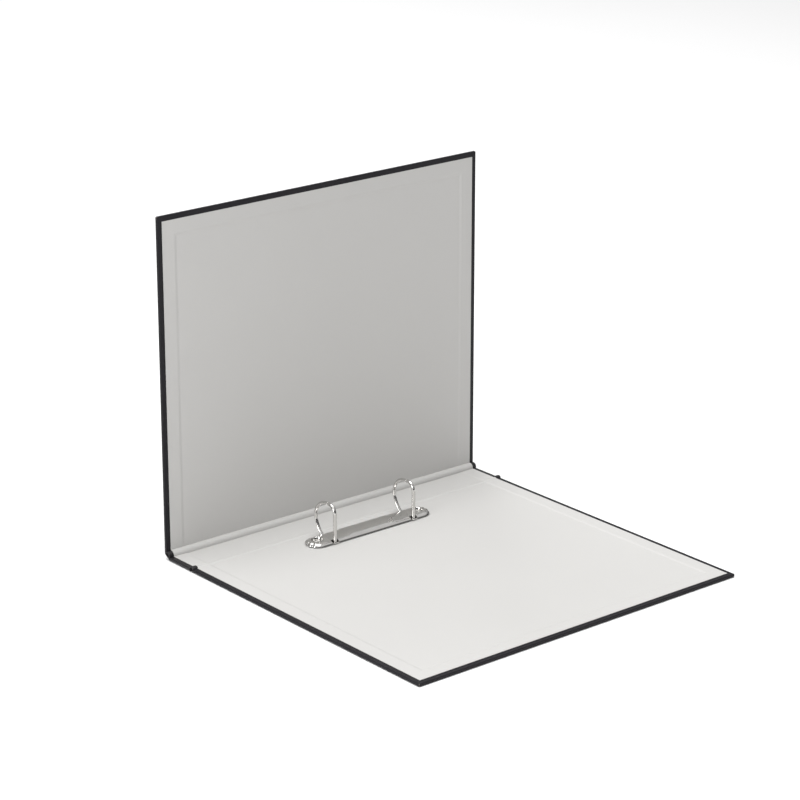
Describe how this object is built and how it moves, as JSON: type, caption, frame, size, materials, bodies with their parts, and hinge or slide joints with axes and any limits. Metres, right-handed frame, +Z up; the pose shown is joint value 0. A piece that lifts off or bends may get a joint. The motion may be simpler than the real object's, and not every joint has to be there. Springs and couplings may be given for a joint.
{
  "type": "ring binder",
  "caption": "Hard-cover ring binder, open flat with its front cover upright: leather-grain spine, pale lining and a riveted D-ring mechanism that snaps open.",
  "frame": {"origin": "middle of the bounding box on the table plane, with the binder open: back cover and spine flat, front cover upright", "axes": "+X along the hinges towards the head of the binder, +Y from the back cover's free edge towards the front cover, +Z up"},
  "size_m": [0.315, 0.308, 0.2752],
  "materials": {
    "covering_paper": "black coated paper with a fine linen grain, satin",
    "spine_cloth": "black leather-grain book cloth, satin",
    "lining_paper": "matt pale grey-white lining paper",
    "greyboard": "raw grey board, hidden inside the paper",
    "label_paper": "white paper with a plain dark grey band",
    "nickel_plate": "bright nickel-plated steel"
  },
  "bodies": {
    "back_cover": {"back_board": "greyboard", "back_covering": "covering_paper", "back_lining": "lining_paper", "back_hinge_cloth": "spine_cloth", "back_hinge_bead": "lining_paper", "ring_housing": "nickel_plate", "left_rivet": "nickel_plate", "right_rivet": "nickel_plate", "left_rivet_washer": "nickel_plate", "right_rivet_washer": "nickel_plate"},
    "spine": {"spine_board": "greyboard", "spine_cloth": "spine_cloth", "spine_lining": "lining_paper", "spine_label": "label_paper", "front_hinge_cloth": "spine_cloth", "front_hinge_bead": "lining_paper"},
    "front_cover": {"front_board": "greyboard", "front_covering": "covering_paper", "front_lining": "lining_paper"},
    "front_carrier": {"front_carrier_plate": "nickel_plate", "left_post_ring": "nickel_plate", "right_post_ring": "nickel_plate"},
    "rear_carrier": {"rear_carrier_plate": "nickel_plate", "left_arch_ring": "nickel_plate", "right_arch_ring": "nickel_plate"}
  },
  "joints": [
    {"name": "back_hinge", "type": "hinge", "parent": "back_cover", "child": "spine", "pos_m": [0, 0.1179, 0.0033], "axis": [1, 0, 0], "range_deg": [-80, 90], "deforming": ["back_hinge_cloth", "back_hinge_bead"]},
    {"name": "front_hinge", "type": "hinge", "parent": "spine", "child": "front_cover", "pos_m": [0, 0.1507, 0.0033], "axis": [1, 0, 0], "range_deg": [-170, 0], "deforming": ["front_hinge_cloth", "front_hinge_bead"]},
    {"name": "front_rings", "type": "hinge", "parent": "back_cover", "child": "front_carrier", "pos_m": [0, 0.0893, 0.0036], "axis": [1, 0, 0], "range_deg": [0, 11.5]},
    {"name": "rear_rings", "type": "hinge", "parent": "back_cover", "child": "rear_carrier", "pos_m": [0, 0.1059, 0.0036], "axis": [1, 0, 0], "range_deg": [-11.5, 0]}
  ],
  "couplings": [
    {"joint": "rear_rings", "follows": "front_rings", "ratio": -1}
  ]
}
